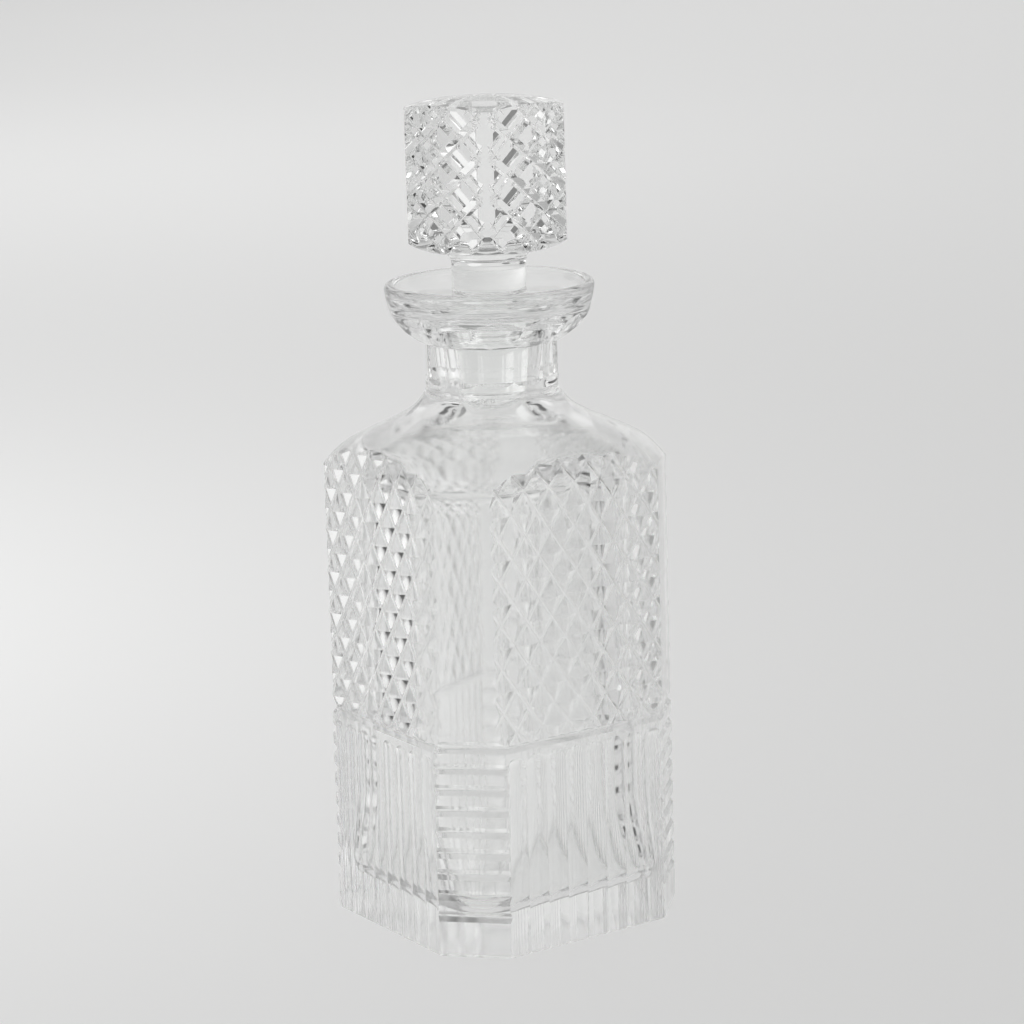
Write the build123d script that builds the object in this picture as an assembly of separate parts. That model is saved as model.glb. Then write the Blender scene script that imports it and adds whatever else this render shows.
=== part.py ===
"""Cut crystal spirit decanter: a square, canted-corner vessel and its loose, lift-out stopper.

All sizes are millimetres. +Z is up and the origin is the centre of the flat base on the table.
Nodes: decanter_body (one blown and cut glass vessel) and stopper (one solid cut glass piece).
"""
import math
import os

from build123d import *

os.makedirs("parts", exist_ok=True)

# ---- overall sizes -------------------------------------------------------------------------
TOTAL_H = 263.4            # table to the top of the stopper's low crown
BODY_W = 91.7              # square body, across opposite flats
CORNER_W = 22.6            # width of each canted corner flat
BASE_CHAMFER = 0.8         # polished break round the foot

# ---- outer shoulder, neck and lip: (radius, height) pairs, bottom to top ---------------------
SHOULDER = [
    (60.0, 140.8), (54.5, 148.0), (49.6, 152.7), (41.5, 157.1), (31.5, 161.8), (24.4, 166.6), (20.9, 173.0)
]
NECK_R = 21.2              # round of the neck before its flats are cut
NECK_FLAT_Z0 = 174.4       # the neck's flats start here
LIP_CREASE_Z = 186.6       # crease between the neck and the underside of the lip
LIP = [(NECK_R, LIP_CREASE_Z), (26.6, 189.9), (30.5, 193.7), (32.1, 198.0), (33.1, 203.4)]
RIM_R = 33.1               # largest radius of the rim
RIM_TOP_Z = 205.3
RIM_ROUND = 1.75           # radius of the rounded rim
SAUCER = [(28.9, 202.4), (26.2, 199.4), (21.6, 197.6)]   # inside of the flared lip
FACETS = 12                # flats round the neck and ovals round the lip
OVAL_DIP = 40.0            # the ovals look out and down by this angle, degrees
OVAL_MID = (29.0, 193.3)   # radius and height of the middle of an oval

# ---- ground socket and inside of the vessel --------------------------------------------------
SOCKET_Z1 = 197.0          # mouth of the ground socket
SOCKET_Z0 = 168.0          # lower end of the ground socket
PLUG_R1 = 14.4             # plug radius at the mouth
PLUG_R0 = 10.2             # plug radius at its lower end
FIT_GAP = 0.08             # radial gap between plug and socket, so the lift joint runs free
BORE_R = 10.1              # throat under the socket
CAVITY_W = 73.0            # inside of the vessel, across flats
CAVITY_CORNER_R = 28.0     # inside corner radius: the blown inside is rounder than the outside
FLOOR_CORNER_R = 11.0      # inside corner radius at the floor, where the inside is squarer
SQUARER_TOP_Z = 44.0       # the inside corners are squarer below this height
FLOOR_Z = 12.0             # thick solid base
FLOOR_R = 6.0              # rounded edge of the cavity floor
CAVITY_TOP = [
    (42.0, 138.0), (39.2, 144.6), (32.0, 151.2), (22.0, 156.8), (13.6, 161.6), (BORE_R, 167.0)
]

# ---- cuts on the vessel ----------------------------------------------------------------------
GIRDLE_Z = 68.2            # mitre groove round the whole body
GIRDLE_HALF_H = 1.9
GIRDLE_DEPTH = 1.5
DIAMOND_W = 9.6            # diamond lattice of the upper panels
DIAMOND_H = 13.7
DIAMOND_DEPTH = 2.2
DIAMOND_HALF_W = 3.75
FLUTES = 8                 # upright flutes on each lower panel
FLUTE_R = 7.6
FLUTE_DEPTH = 0.95
FLUTE_TOP_Z = 64.9
RUNGS = 8                  # level notches down each canted corner
RUNG_PITCH = 6.85
RUNG_HALF_H = 1.75
RUNG_DEPTH = 1.3

# ---- stopper ---------------------------------------------------------------------------------
HEAD_W = 38.8              # square head, across flats
HEAD_CORNER_W = 5.3
HEAD_Z0 = 215.4            # underside of the head where it leaves the stem
HEAD_EDGE_TOP_Z = 260.9    # top of the side faces, under the low crown
HEAD_TURN = 11.0           # the stopper sits turned a little in the neck, degrees
HEAD_UNDER_R = 15.0        # round of the underside next to the stem
STEM_R = 11.7
STEM_Z0 = 202.0            # the stem starts to swell into the plug here
PLUG_SHOULDER_Z = 197.6
HEAD_CUT_W = 15.6          # lozenge lattice of the head
HEAD_CUT_H = 12.0
HEAD_CUT_DEPTH = 1.3
HEAD_CUT_HALF_W = 1.7

FAR = 200.0


def canted_square(across, corner):
    """Sketch of a square with four canted corners, flats on the X and Y axes."""
    half = across / 2
    side = half - corner / math.sqrt(2)
    points = []
    for quarter in range(4):
        turn = math.radians(90 * quarter)
        for x, y in ((half, -side), (half, side)):
            turned_x = x * math.cos(turn) - y * math.sin(turn)
            turned_y = x * math.sin(turn) + y * math.cos(turn)
            points.append((turned_x, turned_y))
    return make_face(Polyline(*points, close=True))


def groove(half_width, depth, length):
    """V groove tool along X, cutting into +Y from the plane Y = 0, with its line at Z = 0."""
    over = 0.6
    wide = half_width * (depth + over) / depth
    profile = make_face(Polyline((-over, -wide), (depth, 0), (-over, wide), close=True))
    return Plane.YZ * Pos(0, 0, -length / 2) * extrude(profile, length)


def lattice(pitch_w, pitch_h, depth, half_width, z_mid, reach_x, reach_z):
    """Crossed V grooves on the plane Y = 0: one list of tools for both directions."""
    slope = math.degrees(math.atan2(pitch_h, pitch_w))
    tools = []
    count = int(reach_x / pitch_w + reach_z / pitch_h) + 1
    for lean in (-1, 1):
        for step in range(-count, count + 1):
            x = (step + 0.5) * pitch_w
            beyond = abs(x) - reach_x
            if beyond * math.tan(math.radians(slope)) > reach_z:
                continue
            tool = groove(half_width, depth, 2.2 * math.hypot(reach_x, reach_z))
            tools.append(Pos(x, 0, z_mid) * Rot(0, lean * slope, 0) * tool)
    return tools


def around(shapes, count, start=0.0):
    """The same shapes repeated about the Z axis."""
    return [Rot(0, 0, start + 360 * k / count) * s for k in range(count) for s in shapes]


# ---- vessel blank ----------------------------------------------------------------------------
foot_octagon = canted_square(BODY_W, CORNER_W)
prism = extrude(foot_octagon, 180)
prism = chamfer(prism.faces().sort_by(Axis.Z)[0].edges(), BASE_CHAMFER)

shoulder_curve = Spline(*SHOULDER, tangents=[(-0.5, 0.5), (0, 1)])
lip_curve = Spline(*LIP, tangents=[(1, 0.25), (0.1, 1)])
rim_mid = (RIM_R - RIM_ROUND, RIM_TOP_Z)
rim_in = (RIM_R - 2 * RIM_ROUND + 0.1, RIM_TOP_Z - 1.4)
rim_curve = ThreePointArc(LIP[-1], rim_mid, rim_in)
saucer_curve = Spline(rim_in, *SAUCER, (PLUG_R1 + FIT_GAP + 0.5, SOCKET_Z1 + 0.2))
outline = [
    Line((0, 0), (SHOULDER[0][0], 0)),
    Line((SHOULDER[0][0], 0), SHOULDER[0]),
    shoulder_curve,
    Line(SHOULDER[-1], (NECK_R, NECK_FLAT_Z0)),
    Line((NECK_R, NECK_FLAT_Z0), LIP[0]),
    lip_curve,
    rim_curve,
    saucer_curve,
    Line(saucer_curve @ 1, (0, SOCKET_Z1 + 0.2)),
    Line((0, SOCKET_Z1 + 0.2), (0, 0)),
]
turned = revolve(Plane.XZ * make_face(Wire(outline)), Axis.Z)
lower = prism & (turned & Pos(0, 0, 90) * Box(FAR, FAR, 180))
upper = turned & Pos(0, 0, 180 + 50) * Box(FAR, FAR, 100)
blank = lower + upper

# ---- inside of the vessel ----------------------------------------------------------------------
floor_shape = Pos(0, 0, FLOOR_Z) * RectangleRounded(CAVITY_W, CAVITY_W, FLOOR_CORNER_R)
body_shape = Pos(0, 0, SQUARER_TOP_Z) * RectangleRounded(CAVITY_W, CAVITY_W, CAVITY_CORNER_R)
inner = loft([floor_shape, body_shape]) + extrude(body_shape, 160 - SQUARER_TOP_Z)
inner = fillet(inner.faces().sort_by(Axis.Z)[0].edges(), FLOOR_R)
top_curve = Spline(*CAVITY_TOP, tangents=[(0, 1), (0, 1)])
dome = [
    Line((0, 0), (60, 0)),
    Line((60, 0), (60, 100)),
    Line((60, 100), CAVITY_TOP[0]),
    top_curve,
    Line(CAVITY_TOP[-1], (0, CAVITY_TOP[-1][1])),
    Line((0, CAVITY_TOP[-1][1]), (0, 0)),
]
inner = inner & revolve(Plane.XZ * make_face(Wire(dome)), Axis.Z)
slope_r = (PLUG_R1 - PLUG_R0) / (SOCKET_Z1 - SOCKET_Z0)
socket_top = SOCKET_Z1 + 1.0
throat = [
    (0, CAVITY_TOP[-1][1] - 8),
    (BORE_R, CAVITY_TOP[-1][1] - 8),
    (BORE_R, SOCKET_Z0 - 0.6),
    (PLUG_R0 + FIT_GAP, SOCKET_Z0),
    (PLUG_R1 + FIT_GAP + slope_r, socket_top),
    (0, socket_top),
]
throat = revolve(Plane.XZ * make_face(Polyline(*throat, close=True)), Axis.Z)
vessel = blank - [inner, throat]

# ---- cuts on the vessel ------------------------------------------------------------------------
half = BODY_W / 2
side = half - CORNER_W / math.sqrt(2)
corner_flat = (half + side) / math.sqrt(2)

# mitre groove: a slab less its waist of two tapered octagons
low = extrude(Pos(0, 0, GIRDLE_Z - GIRDLE_HALF_H) * foot_octagon, GIRDLE_HALF_H,
              taper=math.degrees(math.atan2(GIRDLE_DEPTH, GIRDLE_HALF_H)))
waist = low + mirror(low, Plane.XY.offset(GIRDLE_Z))
girdle = Pos(0, 0, GIRDLE_Z) * Box(FAR, FAR, 2 * GIRDLE_HALF_H) - waist

# diamonds on the upper panels, run out over the shoulder and stopped by the girdle
panel_top = 158.0
panel_mid = (GIRDLE_Z + panel_top) / 2
panel_half_h = (panel_top - GIRDLE_Z) / 2
grooves = lattice(DIAMOND_W, DIAMOND_H, DIAMOND_DEPTH, DIAMOND_HALF_W, panel_mid, side + 2, panel_half_h)
keep = Pos(0, 0, GIRDLE_Z + 60) * Box(FAR, FAR, 120)
diamonds = [(Pos(0, -half, 0) * g) & keep for g in grooves]

# upright flutes of the lower panels, round-bottomed with round tops
pitch = 2 * side / FLUTES
flute_y = -(half + FLUTE_R - FLUTE_DEPTH)
flutes = []
for k in range(FLUTES):
    x = (k - (FLUTES - 1) / 2) * pitch
    shaft = Pos(x, flute_y, (FLUTE_TOP_Z - 4.0) / 2 - 1) * Cylinder(FLUTE_R, FLUTE_TOP_Z - 4.0 + 2)
    cap = Pos(x, flute_y, FLUTE_TOP_Z - 4.0) * Sphere(FLUTE_R)
    flutes.append(shaft + cap)

# level notches down each canted corner
rungs = []
for k in range(1, RUNGS + 1):
    rung = Pos(0, -corner_flat, GIRDLE_Z - k * RUNG_PITCH) * groove(RUNG_HALF_H, RUNG_DEPTH, 40)
    rungs.append(rung)

# flats round the neck and ovals round the lip
neck_apothem = NECK_R * math.cos(math.pi / FACETS) - 0.02
flat_h = LIP_CREASE_Z + 0.2 - NECK_FLAT_Z0
neck_core = extrude(RegularPolygon(neck_apothem, FACETS, major_radius=False), flat_h, both=True)
ring = Cylinder(NECK_R + 4, flat_h) - neck_core
ring = Pos(0, 0, NECK_FLAT_Z0 + flat_h / 2) * Rot(0, 0, 180 / FACETS) * ring
oval = Pos(OVAL_MID[0], 0, OVAL_MID[1]) * Rot(0, OVAL_DIP, 0) * Pos(6, 0, 0) * Box(12, 24, 19)

cuts = [girdle, ring] + around(diamonds, 4) + around(flutes, 4)
cuts += around(rungs, 4, 45) + around([oval], FACETS)
decanter_body = vessel - cuts

# ---- stopper -----------------------------------------------------------------------------------
head_half = HEAD_W / 2
head_side = head_half - HEAD_CORNER_W / math.sqrt(2)
head = extrude(Pos(0, 0, HEAD_Z0) * canted_square(HEAD_W, HEAD_CORNER_W), TOTAL_H - HEAD_Z0)
crown_r = 30.0             # beyond the head's corners, so the side faces stay whole
crown = [
    Line((0, HEAD_Z0), (HEAD_UNDER_R, HEAD_Z0)),
    ThreePointArc((HEAD_UNDER_R, HEAD_Z0), (21.5, HEAD_Z0 + 0.9), (26.5, HEAD_Z0 + 3.6)),
    Line((26.5, HEAD_Z0 + 3.6), (crown_r, HEAD_Z0 + 8)),
    Line((crown_r, HEAD_Z0 + 8), (crown_r, HEAD_EDGE_TOP_Z - 2.6)),
    Line((crown_r, HEAD_EDGE_TOP_Z - 2.6), (26.0, HEAD_EDGE_TOP_Z - 1.0)),
    ThreePointArc((26.0, HEAD_EDGE_TOP_Z - 1.0), (19.0, HEAD_EDGE_TOP_Z + 0.7), (0, TOTAL_H)),
    Line((0, TOTAL_H), (0, HEAD_Z0)),
]
head = head & revolve(Plane.XZ * make_face(Wire(crown)), Axis.Z)
head_mid = (HEAD_Z0 + TOTAL_H) / 2
nicks = lattice(HEAD_CUT_W, HEAD_CUT_H, HEAD_CUT_DEPTH, HEAD_CUT_HALF_W, head_mid, head_side + 1, 24.0)
nicks = [Pos(0, -head_half, 0) * n for n in nicks]
head = head - around(nicks, 4)
stem_foot = (PLUG_R1, PLUG_SHOULDER_Z)
stem_curve = Spline((STEM_R, STEM_Z0), (12.7, 199.2), stem_foot, tangents=[(0, -1), (1, -0.6)])
stem_head = (14.4, HEAD_Z0 + 0.4)
under_curve = Spline(stem_head, (12.3, 213.0), (STEM_R, 209.5), tangents=[(-0.4, -1), (0, -1)])
stem = [
    Line((0, HEAD_Z0 + 0.4), (14.4, HEAD_Z0 + 0.4)),
    under_curve,
    Line((STEM_R, 209.5), (STEM_R, STEM_Z0)),
    stem_curve,
    Line((PLUG_R1, PLUG_SHOULDER_Z), (PLUG_R1, SOCKET_Z1)),
    Line((PLUG_R1, SOCKET_Z1), (PLUG_R0 + 0.1, SOCKET_Z0 + 0.7)),
    Line((PLUG_R0 + 0.1, SOCKET_Z0 + 0.7), (PLUG_R0 - 0.8, SOCKET_Z0)),
    Line((PLUG_R0 - 0.8, SOCKET_Z0), (0, SOCKET_Z0)),
    Line((0, SOCKET_Z0), (0, HEAD_Z0 + 0.4)),
]
stem = revolve(Plane.XZ * make_face(Wire(stem)), Axis.Z)
stopper = Rot(0, 0, HEAD_TURN) * (head + stem)

export_step(decanter_body, "parts/decanter_body.step")
export_step(stopper, "parts/stopper.step")
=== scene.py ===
"""Looks of the cut crystal decanter: hand-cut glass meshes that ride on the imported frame.

Shapes are made here in millimetres, cut with wheels and mitres as the real glass is, then scaled to metres.
"""

import math
import random

import bpy
import numpy as np
from mathutils import Matrix, Vector, noise


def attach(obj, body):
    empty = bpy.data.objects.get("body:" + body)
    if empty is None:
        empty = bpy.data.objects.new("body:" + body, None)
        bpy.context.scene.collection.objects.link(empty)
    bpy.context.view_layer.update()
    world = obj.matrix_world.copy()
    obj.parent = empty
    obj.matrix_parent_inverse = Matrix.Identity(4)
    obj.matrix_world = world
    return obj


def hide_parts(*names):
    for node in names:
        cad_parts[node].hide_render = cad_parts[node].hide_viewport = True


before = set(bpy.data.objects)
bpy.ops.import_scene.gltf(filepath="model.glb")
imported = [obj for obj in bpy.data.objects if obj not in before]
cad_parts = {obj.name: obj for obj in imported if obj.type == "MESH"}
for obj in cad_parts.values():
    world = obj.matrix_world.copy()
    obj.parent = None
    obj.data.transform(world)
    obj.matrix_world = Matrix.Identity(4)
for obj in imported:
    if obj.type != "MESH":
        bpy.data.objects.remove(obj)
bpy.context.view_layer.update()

MM = 0.001
rng = random.Random(7)

# ---- sizes, millimetres -------------------------------------------------------------------------
TOTAL_H = 263.4

# body
BODY_W = 91.7
CORNER_W = 22.6
HALF = BODY_W / 2
SIDE = HALF - CORNER_W / math.sqrt(2)
CORNER_FLAT = (HALF + SIDE) / math.sqrt(2)
FOOT_BEVEL = 0.9

# neck, lip and the ground socket
NECK_R = 21.2
NECK_FLAT_Z0 = 174.4
LIP_CREASE_Z = 186.6
RIM_R = 33.1
RIM_TOP_Z = 205.3
RIM_ROUND = 1.75
FACETS = 12
LIP_FACET_R = 29.0
LIP_FACET_Z = 193.3
LIP_FACET_TILT = 40.0
LIP_FACET_W = 15.2
LIP_FACET_H = 19.0
SOCKET_Z1 = 197.0
SOCKET_Z0 = 168.0
SOCKET_EDGE = 0.7
BORE_R = 10.1
FIT_GAP = 0.08

# inside
CAVITY_HALF = 36.5
CAVITY_ROUND = 28.0
FLOOR_ROUND = 11.0
SQUARER_TOP_Z = 44.0
FLOOR_Z = 12.0
FLOOR_R = 6.0
DOME_START_Z = 130.0
DOME_BLEND = 3.0
BLOWN_WAVE = 0.32

# cuts of the body
GIRDLE_Z = 68.2
GIRDLE_HALF_H = 1.9
GIRDLE_DEPTH = 1.3
PANEL_TOP = 158.0
DIAMOND_W = 9.6
DIAMOND_H = 13.7
DIAMOND_DEPTH = 2.2
DIAMOND_GROOVE_HALF = 3.75
DIAMOND_ROUND = 1.3
DIAMOND_WOBBLE = 0.14
FLUTES = 8
FLUTE_R = 7.6
FLUTE_DEPTH = 0.95
FLUTE_TOP_Z = 64.9
RUNGS = 8
RUNG_PITCH = 6.85
RUNG_HALF = 1.75
RUNG_DEPTH = 1.3
RUNG_ROUND = 0.8

# stopper
HEAD_W = 38.8
HEAD_CORNER_W = 5.3
HEAD_HALF = HEAD_W / 2
HEAD_SIDE = HEAD_HALF - HEAD_CORNER_W / math.sqrt(2)
HEAD_Z0 = 215.4
HEAD_EDGE_TOP_Z = 260.9
HEAD_TURN = 11.0
HEAD_CUT_W = 15.6
HEAD_CUT_H = 12.0
HEAD_CUT_DEPTH = 1.3
HEAD_GROOVE_HALF = 1.7
HEAD_ROUND = 0.2
HEAD_WOBBLE = 0.1
STEM_R = 11.7
STEM_Z0 = 202.0
PLUG_R1 = 14.4
PLUG_R0 = 10.2
PLUG_SHOULDER_Z = 197.6

# ---- looks ----------------------------------------------------------------------------------------
BODY_ROUGHNESS = 0.11
STOPPER_ROUGHNESS = 0.03
SATIN_TOP_Z = 0.156         # metres; the roughness falls from here up to CLEAR_Z
CLEAR_Z = 0.168
CLEAR_SHARE = 0.45          # share of the roughness that is left above CLEAR_Z
CRISP_ANGLE = 14.0          # degrees; faces that meet at more than this have a crisp edge

SEG = 288


# ---- mesh helpers -------------------------------------------------------------------------------
def outward(part):
    """The same part with its faces wound so that its volume is positive."""
    verts, faces = part
    volume = 0.0
    for face in faces:
        a = Vector(verts[face[0]])
        for k in range(1, len(face) - 1):
            volume += a.dot(Vector(verts[face[k]]).cross(Vector(verts[face[k + 1]])))
    return (verts, faces) if volume > 0 else (verts, [tuple(reversed(face)) for face in faces])


def make(name, verts, faces):
    mesh = bpy.data.meshes.new(name)
    mesh.from_pydata([tuple(v) for v in verts], [], [tuple(f) for f in faces])
    mesh.validate()
    obj = bpy.data.objects.new(name, mesh)
    bpy.context.scene.collection.objects.link(obj)
    return obj


def smooth_curve(points, steps=12, start=None, end=None):
    """Hermite curve through points; start and end are optional end directions."""
    p = [np.array(q, float) for q in points]
    n = len(p)
    tangents = []
    for i in range(n):
        if i == 0:
            t = p[1] - p[0]
        elif i == n - 1:
            t = p[-1] - p[-2]
        else:
            a, b = p[i] - p[i - 1], p[i + 1] - p[i]
            la, lb = np.linalg.norm(a), np.linalg.norm(b)
            t = a / la * lb + b / lb * la
        tangents.append(t / np.linalg.norm(t))
    if start is not None:
        tangents[0] = np.array(start, float) / np.linalg.norm(start)
    if end is not None:
        tangents[-1] = np.array(end, float) / np.linalg.norm(end)
    out = []
    for i in range(n - 1):
        length = np.linalg.norm(p[i + 1] - p[i])
        for k in range(steps):
            u = k / steps
            h = (2 * u**3 - 3 * u**2 + 1, u**3 - 2 * u**2 + u, -2 * u**3 + 3 * u**2, u**3 - u**2)
            point = h[0] * p[i] + h[1] * length * tangents[i]
            out.append(point + h[2] * p[i + 1] + h[3] * length * tangents[i + 1])
    out.append(p[-1])
    return [tuple(q) for q in out]


def lathe(name, profile, segments=SEG):
    """Closed solid turned about Z. The profile starts and ends on the axis."""
    inner = [q for q in profile if q[0] > 1e-6]
    verts = [(0, 0, profile[0][1]), (0, 0, profile[-1][1])]
    for r, z in inner:
        for k in range(segments):
            a = math.tau * k / segments
            verts.append((r * math.cos(a), r * math.sin(a), z))
    faces = []
    for j in range(len(inner) - 1):
        for k in range(segments):
            a = 2 + j * segments + k
            b = 2 + j * segments + (k + 1) % segments
            faces.append((a, b, b + segments, a + segments))
    last = 2 + (len(inner) - 1) * segments
    for k in range(segments):
        faces.append((0, 2 + (k + 1) % segments, 2 + k))
        faces.append((1, last + k, last + (k + 1) % segments))
    return make(name, *outward((verts, faces)))


def loft(name, rings):
    """Closed solid through rings of equal count, capped flat at both ends."""
    n = len(rings[0])
    verts = [v for ring in rings for v in ring]
    faces = [tuple(reversed(range(n)))]
    for j in range(len(rings) - 1):
        for k in range(n):
            a, b = j * n + k, j * n + (k + 1) % n
            faces.append((a, b, b + n, a + n))
    faces.append(tuple(range((len(rings) - 1) * n, len(rings) * n)))
    return make(name, *outward((verts, faces)))


def join(name, parts):
    """One mesh out of (vertices, faces) parts that do not touch each other."""
    verts, faces = [], []
    for v, f in map(outward, parts):
        base = len(verts)
        verts.extend(v)
        faces.extend([tuple(i + base for i in face) for face in f])
    return make(name, verts, faces)


def data_of(obj):
    v = [tuple(w.co) for w in obj.data.vertices]
    f = [tuple(p.vertices) for p in obj.data.polygons]
    bpy.data.objects.remove(obj)
    return v, f


def moved(part, matrix):
    v, f = part
    return [tuple(matrix @ Vector(w)) for w in v], f


def box_part(lo, hi):
    v = [(x, y, z) for x in (lo[0], hi[0]) for y in (lo[1], hi[1]) for z in (lo[2], hi[2])]
    f = [(0, 1, 3, 2), (4, 6, 7, 5), (0, 4, 5, 1), (2, 3, 7, 6), (0, 2, 6, 4), (1, 5, 7, 3)]
    return v, f


def octagon(across, corner, grow=0.0):
    """Square with canted corners, its outline moved outwards by grow."""
    half = across / 2 + grow
    side = across / 2 - corner / math.sqrt(2) + grow * math.tan(math.pi / 8)
    points = []
    for q in range(4):
        c, s = round(math.cos(math.pi / 2 * q)), round(math.sin(math.pi / 2 * q))
        for x, y in ((half, -side), (half, side)):
            points.append((x * c - y * s, x * s + y * c))
    return points


def combine(target, tool, how="DIFFERENCE"):
    """Cuts, joins or trims the target with the tool, which is used up."""
    mod = target.modifiers.new("cut", "BOOLEAN")
    mod.operation = how
    mod.object = tool
    mod.solver = "MANIFOLD"
    graph = bpy.context.evaluated_depsgraph_get()
    mesh = bpy.data.meshes.new_from_object(target.evaluated_get(graph))
    target.modifiers.clear()
    target.data = mesh
    bpy.data.objects.remove(tool)
    if not len(mesh.vertices):
        raise RuntimeError("a cut left nothing of " + target.name)
    return target


def turns(parts, count, start=0.0):
    """Copies of the parts, spread evenly round the axis."""
    return [moved(p, Matrix.Rotation(math.radians(start + 360 * k / count), 4, "Z"))
            for k in range(count) for p in parts]


def mitre(half_width, depth, length, round_r, cap):
    """Mitre groove tool along X that cuts into +Y from the plane Y = 0, with a slightly rounded bottom."""
    angle = math.atan2(half_width, depth)
    dip = round_r / math.sin(angle) - round_r
    over = 0.7              # how far the tool stands out of the surface
    wide = half_width * (depth + over) / depth
    profile = [(-over, -wide)] if wide < cap else [(-over, -cap), (0.0, -half_width)]
    bottom = []
    centre = depth - dip - round_r
    spread = math.pi / 2 - angle
    for k in range(9):
        a = -spread + 2 * spread * k / 8
        bottom.append((centre + round_r * math.cos(a), round_r * math.sin(a)))
    profile = profile + bottom + [(y, -z) for y, z in reversed(profile)]
    verts = [(x, y, z) for x in (-length / 2, length / 2) for y, z in profile]
    n = len(profile)
    faces = [tuple(range(n)), tuple(reversed(range(n, 2 * n)))]
    for k in range(n):
        j = (k + 1) % n
        faces.append((k, k + n, j + n, j))
    return verts, faces


def lattice(pitch_w, pitch_h, depth, half_width, z_mid, reach_x, reach_z,
            lean, parity, face_y, wobble, round_r):
    """Every other mitre tool of one direction of a crossed lattice on the plane Y = face_y."""
    slope = math.atan2(pitch_h, pitch_w)
    cap = pitch_w * math.sin(slope) / 2 - 0.05      # keeps neighbouring tools apart
    count = int(reach_x / pitch_w + reach_z / pitch_h) + 1
    parts = []
    for step in range(-2 * count + parity, 2 * count + 1, 2):
        x = (step + 0.5) * pitch_w
        if (abs(x) - reach_x) * math.tan(slope) > reach_z:
            continue
        tool = mitre(half_width, depth, 2.2 * math.hypot(reach_x, reach_z), round_r, cap)
        x += rng.uniform(-1, 1) * wobble
        y = face_y + rng.uniform(-1, 1) * wobble * 0.5
        place = Matrix.Translation((x, y, z_mid)) @ Matrix.Rotation(lean * slope, 4, "Y")
        parts.append(moved(tool, place))
    return parts


# ---- blank of the vessel ------------------------------------------------------------------------
shoulder = smooth_curve(
    [(54.5, 148.0), (49.6, 152.7), (41.5, 157.1), (31.5, 161.8), (24.4, 166.6), (20.9, 173.0)],
    14, start=(-0.62, 0.66), end=(0.03, 1))
lip = smooth_curve(
    [(NECK_R, LIP_CREASE_Z), (26.6, 189.9), (30.5, 193.7), (32.1, 198.0), (33.1, 203.4)],
    10, start=(1, 0.25), end=(0.1, 1))
rim_c = (RIM_R - RIM_ROUND, RIM_TOP_Z - RIM_ROUND)
rim = []
for k in range(1, 17):
    a = math.radians(-4 + 190 * k / 17)
    rim.append((rim_c[0] + RIM_ROUND * math.cos(a), rim_c[1] + RIM_ROUND * math.sin(a)))
saucer = smooth_curve(
    [rim[-1], (28.9, 201.9), (26.2, 199.3), (21.6, 197.6), (PLUG_R1 + FIT_GAP + 0.9, SOCKET_Z1 + 0.1)],
    10, start=(-0.15, -1), end=(-1, -0.16))
slope_r = (PLUG_R1 - PLUG_R0) / (SOCKET_Z1 - SOCKET_Z0)
profile = [(0, -5), (62, -5), (62, 141.0), (58.5, 144.3)] + shoulder + [(NECK_R, NECK_FLAT_Z0)]
profile += lip + rim + saucer[1:] + [(0, SOCKET_Z1 + 0.1)]
vessel = lathe("decanter_glass", profile)

outer = []
for z, grow in ((0.0, -FOOT_BEVEL), (0.25 * FOOT_BEVEL, -0.42 * FOOT_BEVEL),
                (FOOT_BEVEL, 0.0), (180.0, 0.0)):
    outer.append([(x, y, z) for x, y in octagon(BODY_W, CORNER_W, grow)])
prism = loft("prism", outer)
top = join("top", [box_part((-40, -40, 165.0), (40, 40, 260.0))])
combine(prism, top, "UNION")
combine(vessel, prism, "INTERSECT")


# ---- inside of the vessel -----------------------------------------------------------------------
def square_radius(a, corner):
    """Distance from the axis to a square with rounded corners, along the direction a."""
    a = (a + math.pi / 4) % (math.pi / 2) - math.pi / 4
    flat = CAVITY_HALF - corner
    r = CAVITY_HALF / math.cos(a)
    if abs(r * math.sin(a)) <= flat:
        return r
    c = flat * math.sqrt(2)
    d = math.pi / 4 - abs(a)
    return c * math.cos(d) + math.sqrt(corner**2 - (c * math.sin(d)) ** 2)


def blown(a, z):
    """Gentle unevenness of the blown inside."""
    wave = noise.noise(Vector((1.3 * math.cos(a), 1.3 * math.sin(a), z / 34.0)))
    wave += 0.5 * noise.noise(Vector((3.1 * math.cos(a) + 5, 3.1 * math.sin(a), z / 13.0)))
    return BLOWN_WAVE * wave


def circle(r, z):
    """Ring of SEG points."""
    return [(r * math.cos(math.tau * k / SEG), r * math.sin(math.tau * k / SEG), z) for k in range(SEG)]


dome = smooth_curve(
    [(46.0, DOME_START_Z), (42.6, 139.0), (38.6, 145.2), (32.0, 150.8), (22.0, 156.6),
     (13.8, 161.4), (10.4, 165.4), (BORE_R, 167.3)],
    8, start=(-0.05, 1), end=(0, 1))
wall_z = [FLOOR_Z + FLOOR_R * (1 - math.cos(math.radians(90 * k / 10))) for k in range(11)]
wall_z += [FLOOR_Z + FLOOR_R + (DOME_START_Z - FLOOR_Z - FLOOR_R) * k / 26 for k in range(1, 26)]
rings = []
for z in wall_z:
    ring = []
    rise = max(0.0, FLOOR_R - (z - FLOOR_Z))
    inset = FLOOR_R - math.sqrt(max(0.0, FLOOR_R**2 - rise**2))
    up = min(1.0, (z - FLOOR_Z) / (SQUARER_TOP_Z - FLOOR_Z))
    corner = FLOOR_ROUND + (CAVITY_ROUND - FLOOR_ROUND) * up * up * (3 - 2 * up)
    for k in range(SEG):
        a = math.tau * k / SEG
        r = square_radius(a, corner) - inset
        r += blown(a, z) * min(1.0, (z - FLOOR_Z) / 12.0)
        ring.append((r * math.cos(a), r * math.sin(a), z))
    rings.append(ring)
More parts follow.
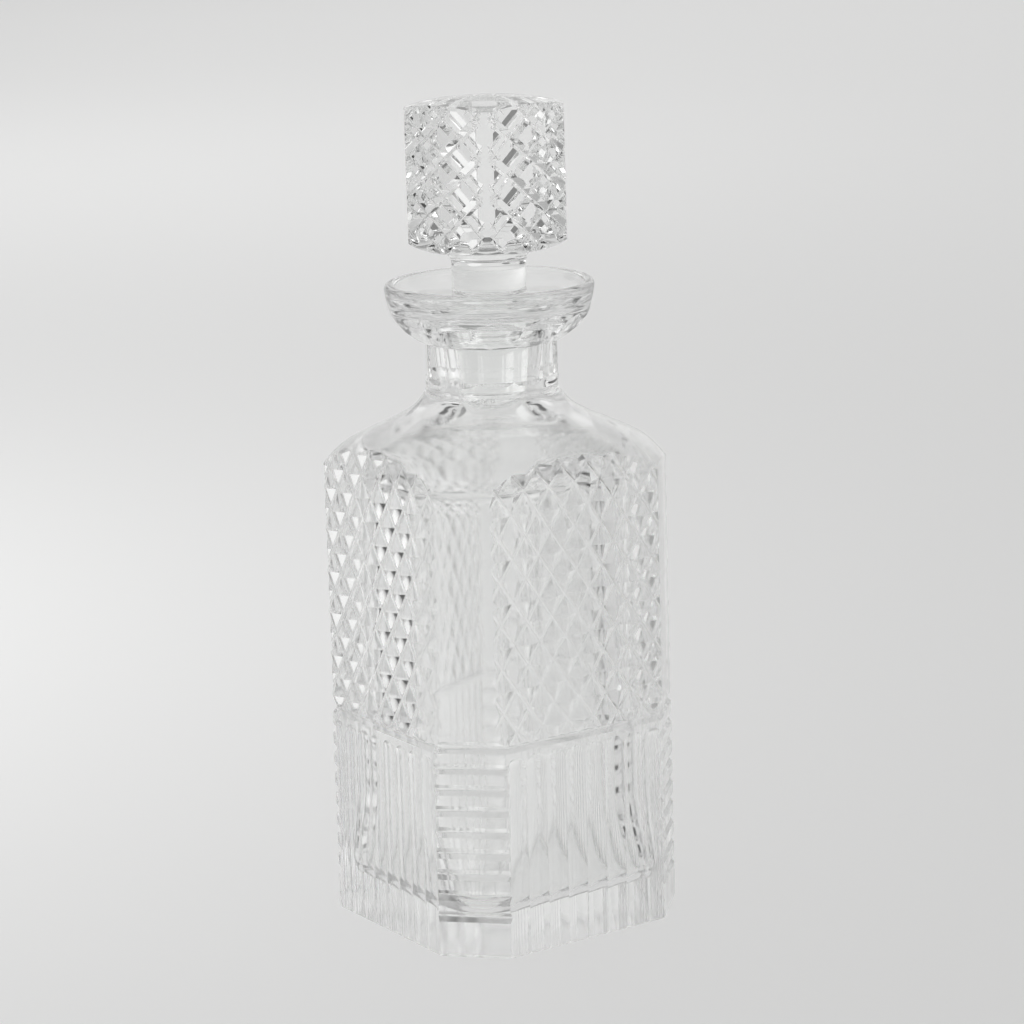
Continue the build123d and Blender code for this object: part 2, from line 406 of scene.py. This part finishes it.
for r0, z in dome:
    ring = []
    for k in range(SEG):
        a = math.tau * k / SEG
        wall = square_radius(a, CAVITY_ROUND)
        near = max(0.0, DOME_BLEND - abs(wall - r0)) / DOME_BLEND
        r = min(wall, r0) - near * near * DOME_BLEND / 4
        r += blown(a, z) * min(1.0, max(0.0, (r0 - 12) / 10))
        ring.append((r * math.cos(a), r * math.sin(a), z))
    rings.append(ring)
socket = [(BORE_R, SOCKET_Z0 - 0.5), (PLUG_R0 + FIT_GAP, SOCKET_Z0)]
for k in range(1, 12):
    z = SOCKET_Z0 + (SOCKET_Z1 - SOCKET_EDGE - SOCKET_Z0) * k / 11
    socket.append((PLUG_R0 + FIT_GAP + slope_r * (z - SOCKET_Z0), z))
mouth = socket[-1]
socket += [(mouth[0] + dr, mouth[1] + dz) for dr, dz in ((0.12, 0.42), (0.45, 0.68), (1.1, 0.82))]
socket += [(mouth[0] + 1.1, SOCKET_Z1 + 2.0)]
rings += [circle(r, z) for r, z in socket]
combine(vessel, loft("inside", rings))

# ---- cutting the vessel --------------------------------------------------------------------------
# mitre groove round the body
half_groove = [(3.2, 4.0), (GIRDLE_HALF_H, 0.0), (0.95, -0.86), (0.6, -1.12), (0.3, -1.25)]
steps = [(-dz, grow) for dz, grow in half_groove] + [(0.0, -GIRDLE_DEPTH)] + half_groove[::-1]
slab = join("slab", [box_part((-70, -70, GIRDLE_Z - GIRDLE_HALF_H), (70, 70, GIRDLE_Z + GIRDLE_HALF_H))])
waist = []
for dz, grow in steps:
    waist.append([(x, y, GIRDLE_Z + dz) for x, y in octagon(BODY_W, CORNER_W, grow)])
combine(slab, loft("waist", waist))
combine(vessel, slab)

# crossed mitres of the diamond panels
panel_mid = (GIRDLE_Z + PANEL_TOP) / 2
window_part = box_part((-SIDE - 4.5, -HALF - 5, GIRDLE_Z), (SIDE + 4.5, -HALF + 6, PANEL_TOP + 6))
for lean, parity in ((-1, 0), (-1, 1), (1, 0), (1, 1)):
    sides = []
    for q in range(4):
        panel = lattice(DIAMOND_W, DIAMOND_H, DIAMOND_DEPTH, DIAMOND_GROOVE_HALF, panel_mid,
                        SIDE + 4, (PANEL_TOP - GIRDLE_Z) / 2 + 4,
                        lean, parity, -HALF, DIAMOND_WOBBLE, DIAMOND_ROUND)
        clipped = combine(join("window", [window_part]), join("mitres", panel), "INTERSECT")
        sides.append(moved(data_of(clipped), Matrix.Rotation(math.pi / 2 * q, 4, "Z")))
    combine(vessel, join("cuts", sides))

# upright flutes under the girdle
pitch = 2 * SIDE / FLUTES
cap_z = FLUTE_TOP_Z - 4.0
shaft = [(0, -3.0), (FLUTE_R, -3.0), (FLUTE_R, cap_z)]
shaft += [(FLUTE_R * math.cos(math.radians(a)), cap_z + FLUTE_R * math.sin(math.radians(a)))
          for a in range(3, 90, 3)]
shaft += [(0, cap_z + FLUTE_R)]
flute = data_of(lathe("flute", shaft, 96))
for parity in (0, 1):
    tools = []
    for k in range(parity, FLUTES, 2):
        x = (k - (FLUTES - 1) / 2) * pitch
        y = -(HALF + FLUTE_R - FLUTE_DEPTH)
        tools += turns([moved(flute, Matrix.Translation((x, y, 0)))], 4)
    combine(vessel, join("flutes", tools))

# level notches down the canted corners
tools = []
for k in range(1, RUNGS + 1):
    rung = mitre(RUNG_HALF, RUNG_DEPTH, 40, RUNG_ROUND, 9)
    tools += turns([moved(rung, Matrix.Translation((0, -CORNER_FLAT, GIRDLE_Z - k * RUNG_PITCH)))], 4, 45)
combine(vessel, join("rungs", tools))

# flats round the neck
apothem = NECK_R * math.cos(math.pi / FACETS) - 0.02
sleeve = lathe("sleeve", [(0, NECK_FLAT_Z0), (NECK_R + 4, NECK_FLAT_Z0),
                          (NECK_R + 4, LIP_CREASE_Z + 0.15), (0, LIP_CREASE_Z + 0.15)])
core = []
for z, grow in ((NECK_FLAT_Z0 - 1, 0.9), (NECK_FLAT_Z0, 0.75),
                (NECK_FLAT_Z0 + 1.6, 0.0), (LIP_CREASE_Z + 1, 0.0)):
    r = (apothem + grow) / math.cos(math.pi / FACETS)
    corners = [math.tau * (k + 0.5) / FACETS for k in range(FACETS)]
    core.append([(r * math.cos(a), r * math.sin(a), z) for a in corners])
combine(sleeve, loft("core", core))
combine(vessel, sleeve)

# flat oval facets round the underside of the lip
for parity in (0, 1):
    tools = []
    for k in range(parity, FACETS, 2):
        place = Matrix.Rotation(math.tau * k / FACETS, 4, "Z")
        place = place @ Matrix.Translation((LIP_FACET_R, 0, LIP_FACET_Z))
        place = place @ Matrix.Rotation(math.radians(LIP_FACET_TILT), 4, "Y")
        place = place @ Matrix.Translation((6.0, 0, 0))
        wheel = box_part((-6, -LIP_FACET_W / 2, -LIP_FACET_H / 2), (6, LIP_FACET_W / 2, LIP_FACET_H / 2))
        tools.append(moved(wheel, place))
    combine(vessel, join("facets", tools))

# ---- stopper ---------------------------------------------------------------------------------------
crown = [(0, HEAD_Z0), (15.0, HEAD_Z0)]
crown += smooth_curve(
    [(15.0, HEAD_Z0), (21.5, HEAD_Z0 + 0.9), (26.5, HEAD_Z0 + 3.6), (30.0, HEAD_Z0 + 8)],
    8, start=(1, 0), end=(0.3, 1))[1:]
crown += smooth_curve(
    [(30.0, HEAD_EDGE_TOP_Z - 2.6), (26.0, HEAD_EDGE_TOP_Z - 1.0), (19.0, HEAD_EDGE_TOP_Z + 0.75),
     (10.0, TOTAL_H - 0.6), (0.0, TOTAL_H)],
    10, start=(-1, 0.3), end=(-1, 0))
stopper = lathe("stopper_glass", crown)
head_outline = octagon(HEAD_W, HEAD_CORNER_W)
head_prism = loft("head_prism", [[(x, y, z) for x, y in head_outline] for z in (HEAD_Z0 - 5, TOTAL_H + 5)])
combine(stopper, head_prism, "INTERSECT")
head_window = box_part((-HEAD_SIDE - 2.6, -HEAD_HALF - 3, HEAD_Z0 - 4),
                       (HEAD_SIDE + 2.6, -HEAD_HALF + 2, TOTAL_H + 4))
for lean, parity in ((-1, 0), (-1, 1), (1, 0), (1, 1)):
    sides = []
    for q in range(4):
        panel = lattice(HEAD_CUT_W, HEAD_CUT_H, HEAD_CUT_DEPTH, HEAD_GROOVE_HALF, (HEAD_Z0 + TOTAL_H) / 2,
                        HEAD_SIDE + 2, 26.0, lean, parity, -HEAD_HALF, HEAD_WOBBLE, HEAD_ROUND)
        clipped = combine(join("window", [head_window]), join("nicks", panel), "INTERSECT")
        sides.append(moved(data_of(clipped), Matrix.Rotation(math.pi / 2 * q, 4, "Z")))
    combine(stopper, join("cuts", sides))
tip = (PLUG_R0 + 0.1, SOCKET_Z0 + 0.7)
plug = [(0, SOCKET_Z0), (PLUG_R0 - 0.8, SOCKET_Z0), (PLUG_R0 - 0.2, SOCKET_Z0 + 0.25), tip]
plug += [(tip[0] + (PLUG_R1 - PLUG_R0 - 0.1) * k / 10, tip[1] + (SOCKET_Z1 - SOCKET_Z0 - 0.7) * k / 10)
         for k in range(1, 11)]
plug += [(PLUG_R1, PLUG_SHOULDER_Z), (PLUG_R1 - 0.5, PLUG_SHOULDER_Z + 0.35),
         (PLUG_R1 - 0.5, PLUG_SHOULDER_Z + 1.5)]
plug += smooth_curve([(PLUG_R1 - 0.8, PLUG_SHOULDER_Z + 1.7), (12.4, 200.1), (STEM_R, STEM_Z0)],
                     8, start=(-1, 0.2), end=(0, 1))
plug += [(STEM_R, 204.5), (STEM_R, 207.0)]
plug += smooth_curve([(STEM_R, 209.5), (12.3, 213.0), (14.4, HEAD_Z0 + 0.4)], 8, start=(0, 1), end=(0.4, 1))
plug += [(0, HEAD_Z0 + 0.4)]
combine(stopper, lathe("plug", plug), "UNION")
stopper.data.transform(Matrix.Rotation(math.radians(HEAD_TURN), 4, "Z"))


# ---- polish: normals, scale ------------------------------------------------------------------------
def polish(obj):
    """Scales to metres. Facets shade flat and curves smooth, with crisp edges between."""
    obj.data.transform(Matrix.Scale(MM, 4))
    for poly in obj.data.polygons:
        poly.use_smooth = True
    obj.data.set_sharp_from_angle(angle=math.radians(CRISP_ANGLE))
    mod = obj.modifiers.new("weighted", "WEIGHTED_NORMAL")
    mod.mode = "FACE_AREA"
    mod.keep_sharp = True
    graph = bpy.context.evaluated_depsgraph_get()
    mesh = bpy.data.meshes.new_from_object(obj.evaluated_get(graph))
    obj.modifiers.clear()
    obj.data = mesh


polish(vessel)
polish(stopper)


# ---- glass -------------------------------------------------------------------------------------------
def crystal(name, roughness):
    """Clear lead glass. Lamps and the light that the table sends back pass straight through it."""
    mat = bpy.data.materials.new(name)
    mat.use_nodes = True
    nodes, links = mat.node_tree.nodes, mat.node_tree.links
    nodes.clear()
    out = nodes.new("ShaderNodeOutputMaterial")
    glass = nodes.new("ShaderNodeBsdfPrincipled")
    glass.inputs["Base Color"].default_value = (0.992, 0.996, 0.993, 1)
    glass.inputs["IOR"].default_value = 1.545
    glass.inputs["Transmission Weight"].default_value = 1.0
    coords = nodes.new("ShaderNodeTexCoord")
    polish_noise = nodes.new("ShaderNodeTexNoise")
    polish_noise.inputs["Scale"].default_value = 90.0
    polish_noise.inputs["Detail"].default_value = 2.0
    spread = nodes.new("ShaderNodeMapRange")
    spread.inputs["To Min"].default_value = roughness * 0.75
    spread.inputs["To Max"].default_value = roughness * 1.25
    links.new(coords.outputs["Object"], polish_noise.inputs["Vector"])
    links.new(polish_noise.outputs["Fac"], spread.inputs["Value"])
    height = nodes.new("ShaderNodeSeparateXYZ")
    fade = nodes.new("ShaderNodeMapRange")
    fade.inputs["From Min"].default_value = SATIN_TOP_Z
    fade.inputs["From Max"].default_value = CLEAR_Z
    fade.inputs["To Min"].default_value = 1.0
    fade.inputs["To Max"].default_value = CLEAR_SHARE
    product = nodes.new("ShaderNodeMath")
    product.operation = "MULTIPLY"
    links.new(coords.outputs["Object"], height.inputs["Vector"])
    links.new(height.outputs["Z"], fade.inputs["Value"])
    links.new(spread.outputs["Result"], product.inputs[0])
    links.new(fade.outputs["Result"], product.inputs[1])
    links.new(product.outputs["Value"], glass.inputs["Roughness"])
    clear = nodes.new("ShaderNodeBsdfTransparent")
    clear.inputs["Color"].default_value = (0.995, 0.995, 0.995, 1)
    path = nodes.new("ShaderNodeLightPath")
    bounce = nodes.new("ShaderNodeMixShader")
    lamp = nodes.new("ShaderNodeMixShader")
    links.new(path.outputs["Is Diffuse Ray"], bounce.inputs["Fac"])
    links.new(glass.outputs["BSDF"], bounce.inputs[1])
    links.new(clear.outputs["BSDF"], bounce.inputs[2])
    links.new(path.outputs["Is Shadow Ray"], lamp.inputs["Fac"])
    links.new(bounce.outputs["Shader"], lamp.inputs[1])
    links.new(clear.outputs["BSDF"], lamp.inputs[2])
    links.new(lamp.outputs["Shader"], out.inputs["Surface"])
    return mat


for obj, node, body, slot, roughness in (
        (vessel, "decanter_body", "vessel", "vessel_crystal", BODY_ROUGHNESS),
        (stopper, "stopper", "stopper", "stopper_crystal", STOPPER_ROUGHNESS)):
    obj.data.materials.clear()
    obj.data.materials.append(crystal(slot, roughness))
    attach(obj, body)
    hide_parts(node)

# ---- floor, light, camera --------------------------------------------------------------------------------
GROUND_R = 14.0
GROUND_GAP = 0.0001         # metres; keeps the floor just under the glass
edge = [math.tau * k / 96 for k in range(96)]
ground = make("floor", [(GROUND_R * math.cos(a), GROUND_R * math.sin(a), -GROUND_GAP) for a in edge],
              [tuple(range(96))])
paper = bpy.data.materials.new("paper")
paper.use_nodes = True
shader = paper.node_tree.nodes["Principled BSDF"]
shader.inputs["Base Color"].default_value = (0.84, 0.84, 0.838, 1)
shader.inputs["Roughness"].default_value = 0.9
shader.inputs["Specular IOR Level"].default_value = 0.1
ground.data.materials.append(paper)

scene = bpy.context.scene
world = bpy.data.worlds.new("studio")
scene.world = world
world.use_nodes = True
tree = world.node_tree
tree.nodes.clear()
sky_out = tree.nodes.new("ShaderNodeOutputWorld")
sky = tree.nodes.new("ShaderNodeBackground")
coords = tree.nodes.new("ShaderNodeTexCoord")
tree.links.new(sky.outputs["Background"], sky_out.inputs["Surface"])


def towards(azimuth, elevation):
    """Unit vector: azimuth 0 looks along -Y, 90 along -X; elevation above the table."""
    a, e = math.radians(azimuth), math.radians(elevation)
    return (-math.sin(a) * math.cos(e), -math.cos(a) * math.cos(e), math.sin(e))


def zone(level, azimuth, elevation, inner, outer, value):
    """Blends a round patch of the room, soft from inner to outer degrees, to a brightness."""
    dot = tree.nodes.new("ShaderNodeVectorMath")
    dot.operation = "DOT_PRODUCT"
    dot.inputs[1].default_value = towards(azimuth, elevation)
    tree.links.new(coords.outputs["Generated"], dot.inputs[0])
    ramp = tree.nodes.new("ShaderNodeMapRange")
    ramp.interpolation_type = "SMOOTHSTEP"
    ramp.inputs["From Min"].default_value = math.cos(math.radians(outer))
    ramp.inputs["From Max"].default_value = math.cos(math.radians(inner))
    tree.links.new(dot.outputs["Value"], ramp.inputs["Value"])
    mix = tree.nodes.new("ShaderNodeMix")
    mix.data_type = "FLOAT"
    mix.inputs["B"].default_value = value
    if isinstance(level, float):
        mix.inputs["A"].default_value = level
    else:
        tree.links.new(level, mix.inputs["A"])
    tree.links.new(ramp.outputs["Result"], mix.inputs["Factor"])
    return mix.outputs["Result"]


PLAIN_ROOM = 0.55
room = 0.66                                  # walls all round
room = zone(room, 30, 50, 24, 38, 0.20)      # dark room above and behind the camera
room = zone(room, 110, 38, 18, 30, 0.42)     # unlit wall on the left
room = zone(room, 292, 32, 18, 30, 0.30)     # unlit wall on the right
room = zone(room, 212, 21, 18, 32, 0.75)     # paper sweeping up behind
room = zone(room, 192, 47, 13, 16, 0.10)     # dark ceiling above the paper's top edge
room = zone(room, 236, 47, 13, 16, 0.10)
room = zone(room, 230, 9, 8, 10, 0.93)       # lit patch low on the paper
room = zone(room, 75, 21, 13, 16, 2.4)       # window on the left
room = zone(room, 345, 12, 14, 18, 1.6)      # lamp on the right of the camera
room = zone(room, 153, 5, 13, 16, 0.02)      # dark gap beside the paper, on the left
room = zone(room, 285, 7, 9, 11, 0.02)       # dark gap beside the paper, on the right
room = zone(room, 193, 10, 5, 6, 0.22)       # dark stand behind the paper
path = tree.nodes.new("ShaderNodeLightPath")
seen = tree.nodes.new("ShaderNodeMix")       # what shows past the floor's edge is plain and pale
seen.data_type = "FLOAT"
seen.inputs["B"].default_value = PLAIN_ROOM
tree.links.new(room, seen.inputs["A"])
tree.links.new(path.outputs["Is Camera Ray"], seen.inputs["Factor"])
tree.links.new(seen.outputs["Result"], sky.inputs["Strength"])
sky.inputs["Color"].default_value = (1, 1, 0.995, 1)


def lamp(kind, name, place, aim, energy):
    """A lamp that lights the paper but isn't itself seen in the glass."""
    light = bpy.data.lights.new(name, kind)
    light.energy = energy
    obj = bpy.data.objects.new(name, light)
    obj.location = place
    obj.rotation_euler = (Vector(aim) - Vector(place)).to_track_quat("-Z", "Y").to_euler()
    obj.visible_glossy = False
    obj.visible_transmission = False
    scene.collection.objects.link(obj)
    return light


lamp("SUN", "overhead", (-0.6, 0.4, 2.0), (0, 0, 0), 0.5).angle = math.radians(120)
lamp("AREA", "side_glow", (-0.36, 0.62, 0.6), (-0.36, 0.62, 0), 2.4).size = 0.4
lamp("AREA", "middle_glow", (0.62, 1.95, 1.4), (0.62, 1.95, 0), 4.4).size = 0.5
lamp("AREA", "back_glow", (2.3, 3.4, 2.5), (2.3, 3.4, 0), 13.0).size = 2.0

# the camera: about a metre away and a little above the stopper, one corner of the body towards it
AZIMUTH = math.radians(34.03)
PITCH = math.radians(12.59)
ROLL = math.radians(-1.7)
DISTANCE = 1072.2
OFFSET_X = -5.06
OFFSET_Y = 0.63
FOCAL_PX = 3363.0
PICTURE_PX = 1024
SENSOR_MM = 36.0
fwd = np.array([math.sin(AZIMUTH) * math.cos(PITCH), math.cos(AZIMUTH) * math.cos(PITCH), -math.sin(PITCH)])
right = np.array([math.cos(AZIMUTH), -math.sin(AZIMUTH), 0.0])
down = np.cross(fwd, right)
r2 = math.cos(ROLL) * right - math.sin(ROLL) * down
d2 = math.sin(ROLL) * right + math.cos(ROLL) * down
place = np.array([0, 0, 130.0]) - (r2 * OFFSET_X + d2 * OFFSET_Y + fwd * DISTANCE)
cam_data = bpy.data.cameras.new("camera")
cam_data.sensor_width = SENSOR_MM
cam_data.lens = FOCAL_PX * SENSOR_MM / PICTURE_PX
cam_data.clip_end = 30
camera = bpy.data.objects.new("camera", cam_data)
camera.matrix_world = Matrix((
    (r2[0], -d2[0], -fwd[0], place[0] * MM),
    (r2[1], -d2[1], -fwd[1], place[1] * MM),
    (r2[2], -d2[2], -fwd[2], place[2] * MM),
    (0, 0, 0, 1)))
scene.collection.objects.link(camera)
scene.camera = camera

scene.cycles.max_bounces = 32
scene.cycles.transmission_bounces = 28
scene.cycles.glossy_bounces = 12
scene.cycles.diffuse_bounces = 3
scene.cycles.transparent_max_bounces = 32
scene.cycles.caustics_reflective = False
scene.cycles.caustics_refractive = False
scene.cycles.use_denoising = True
scene.view_settings.view_transform = "Standard"
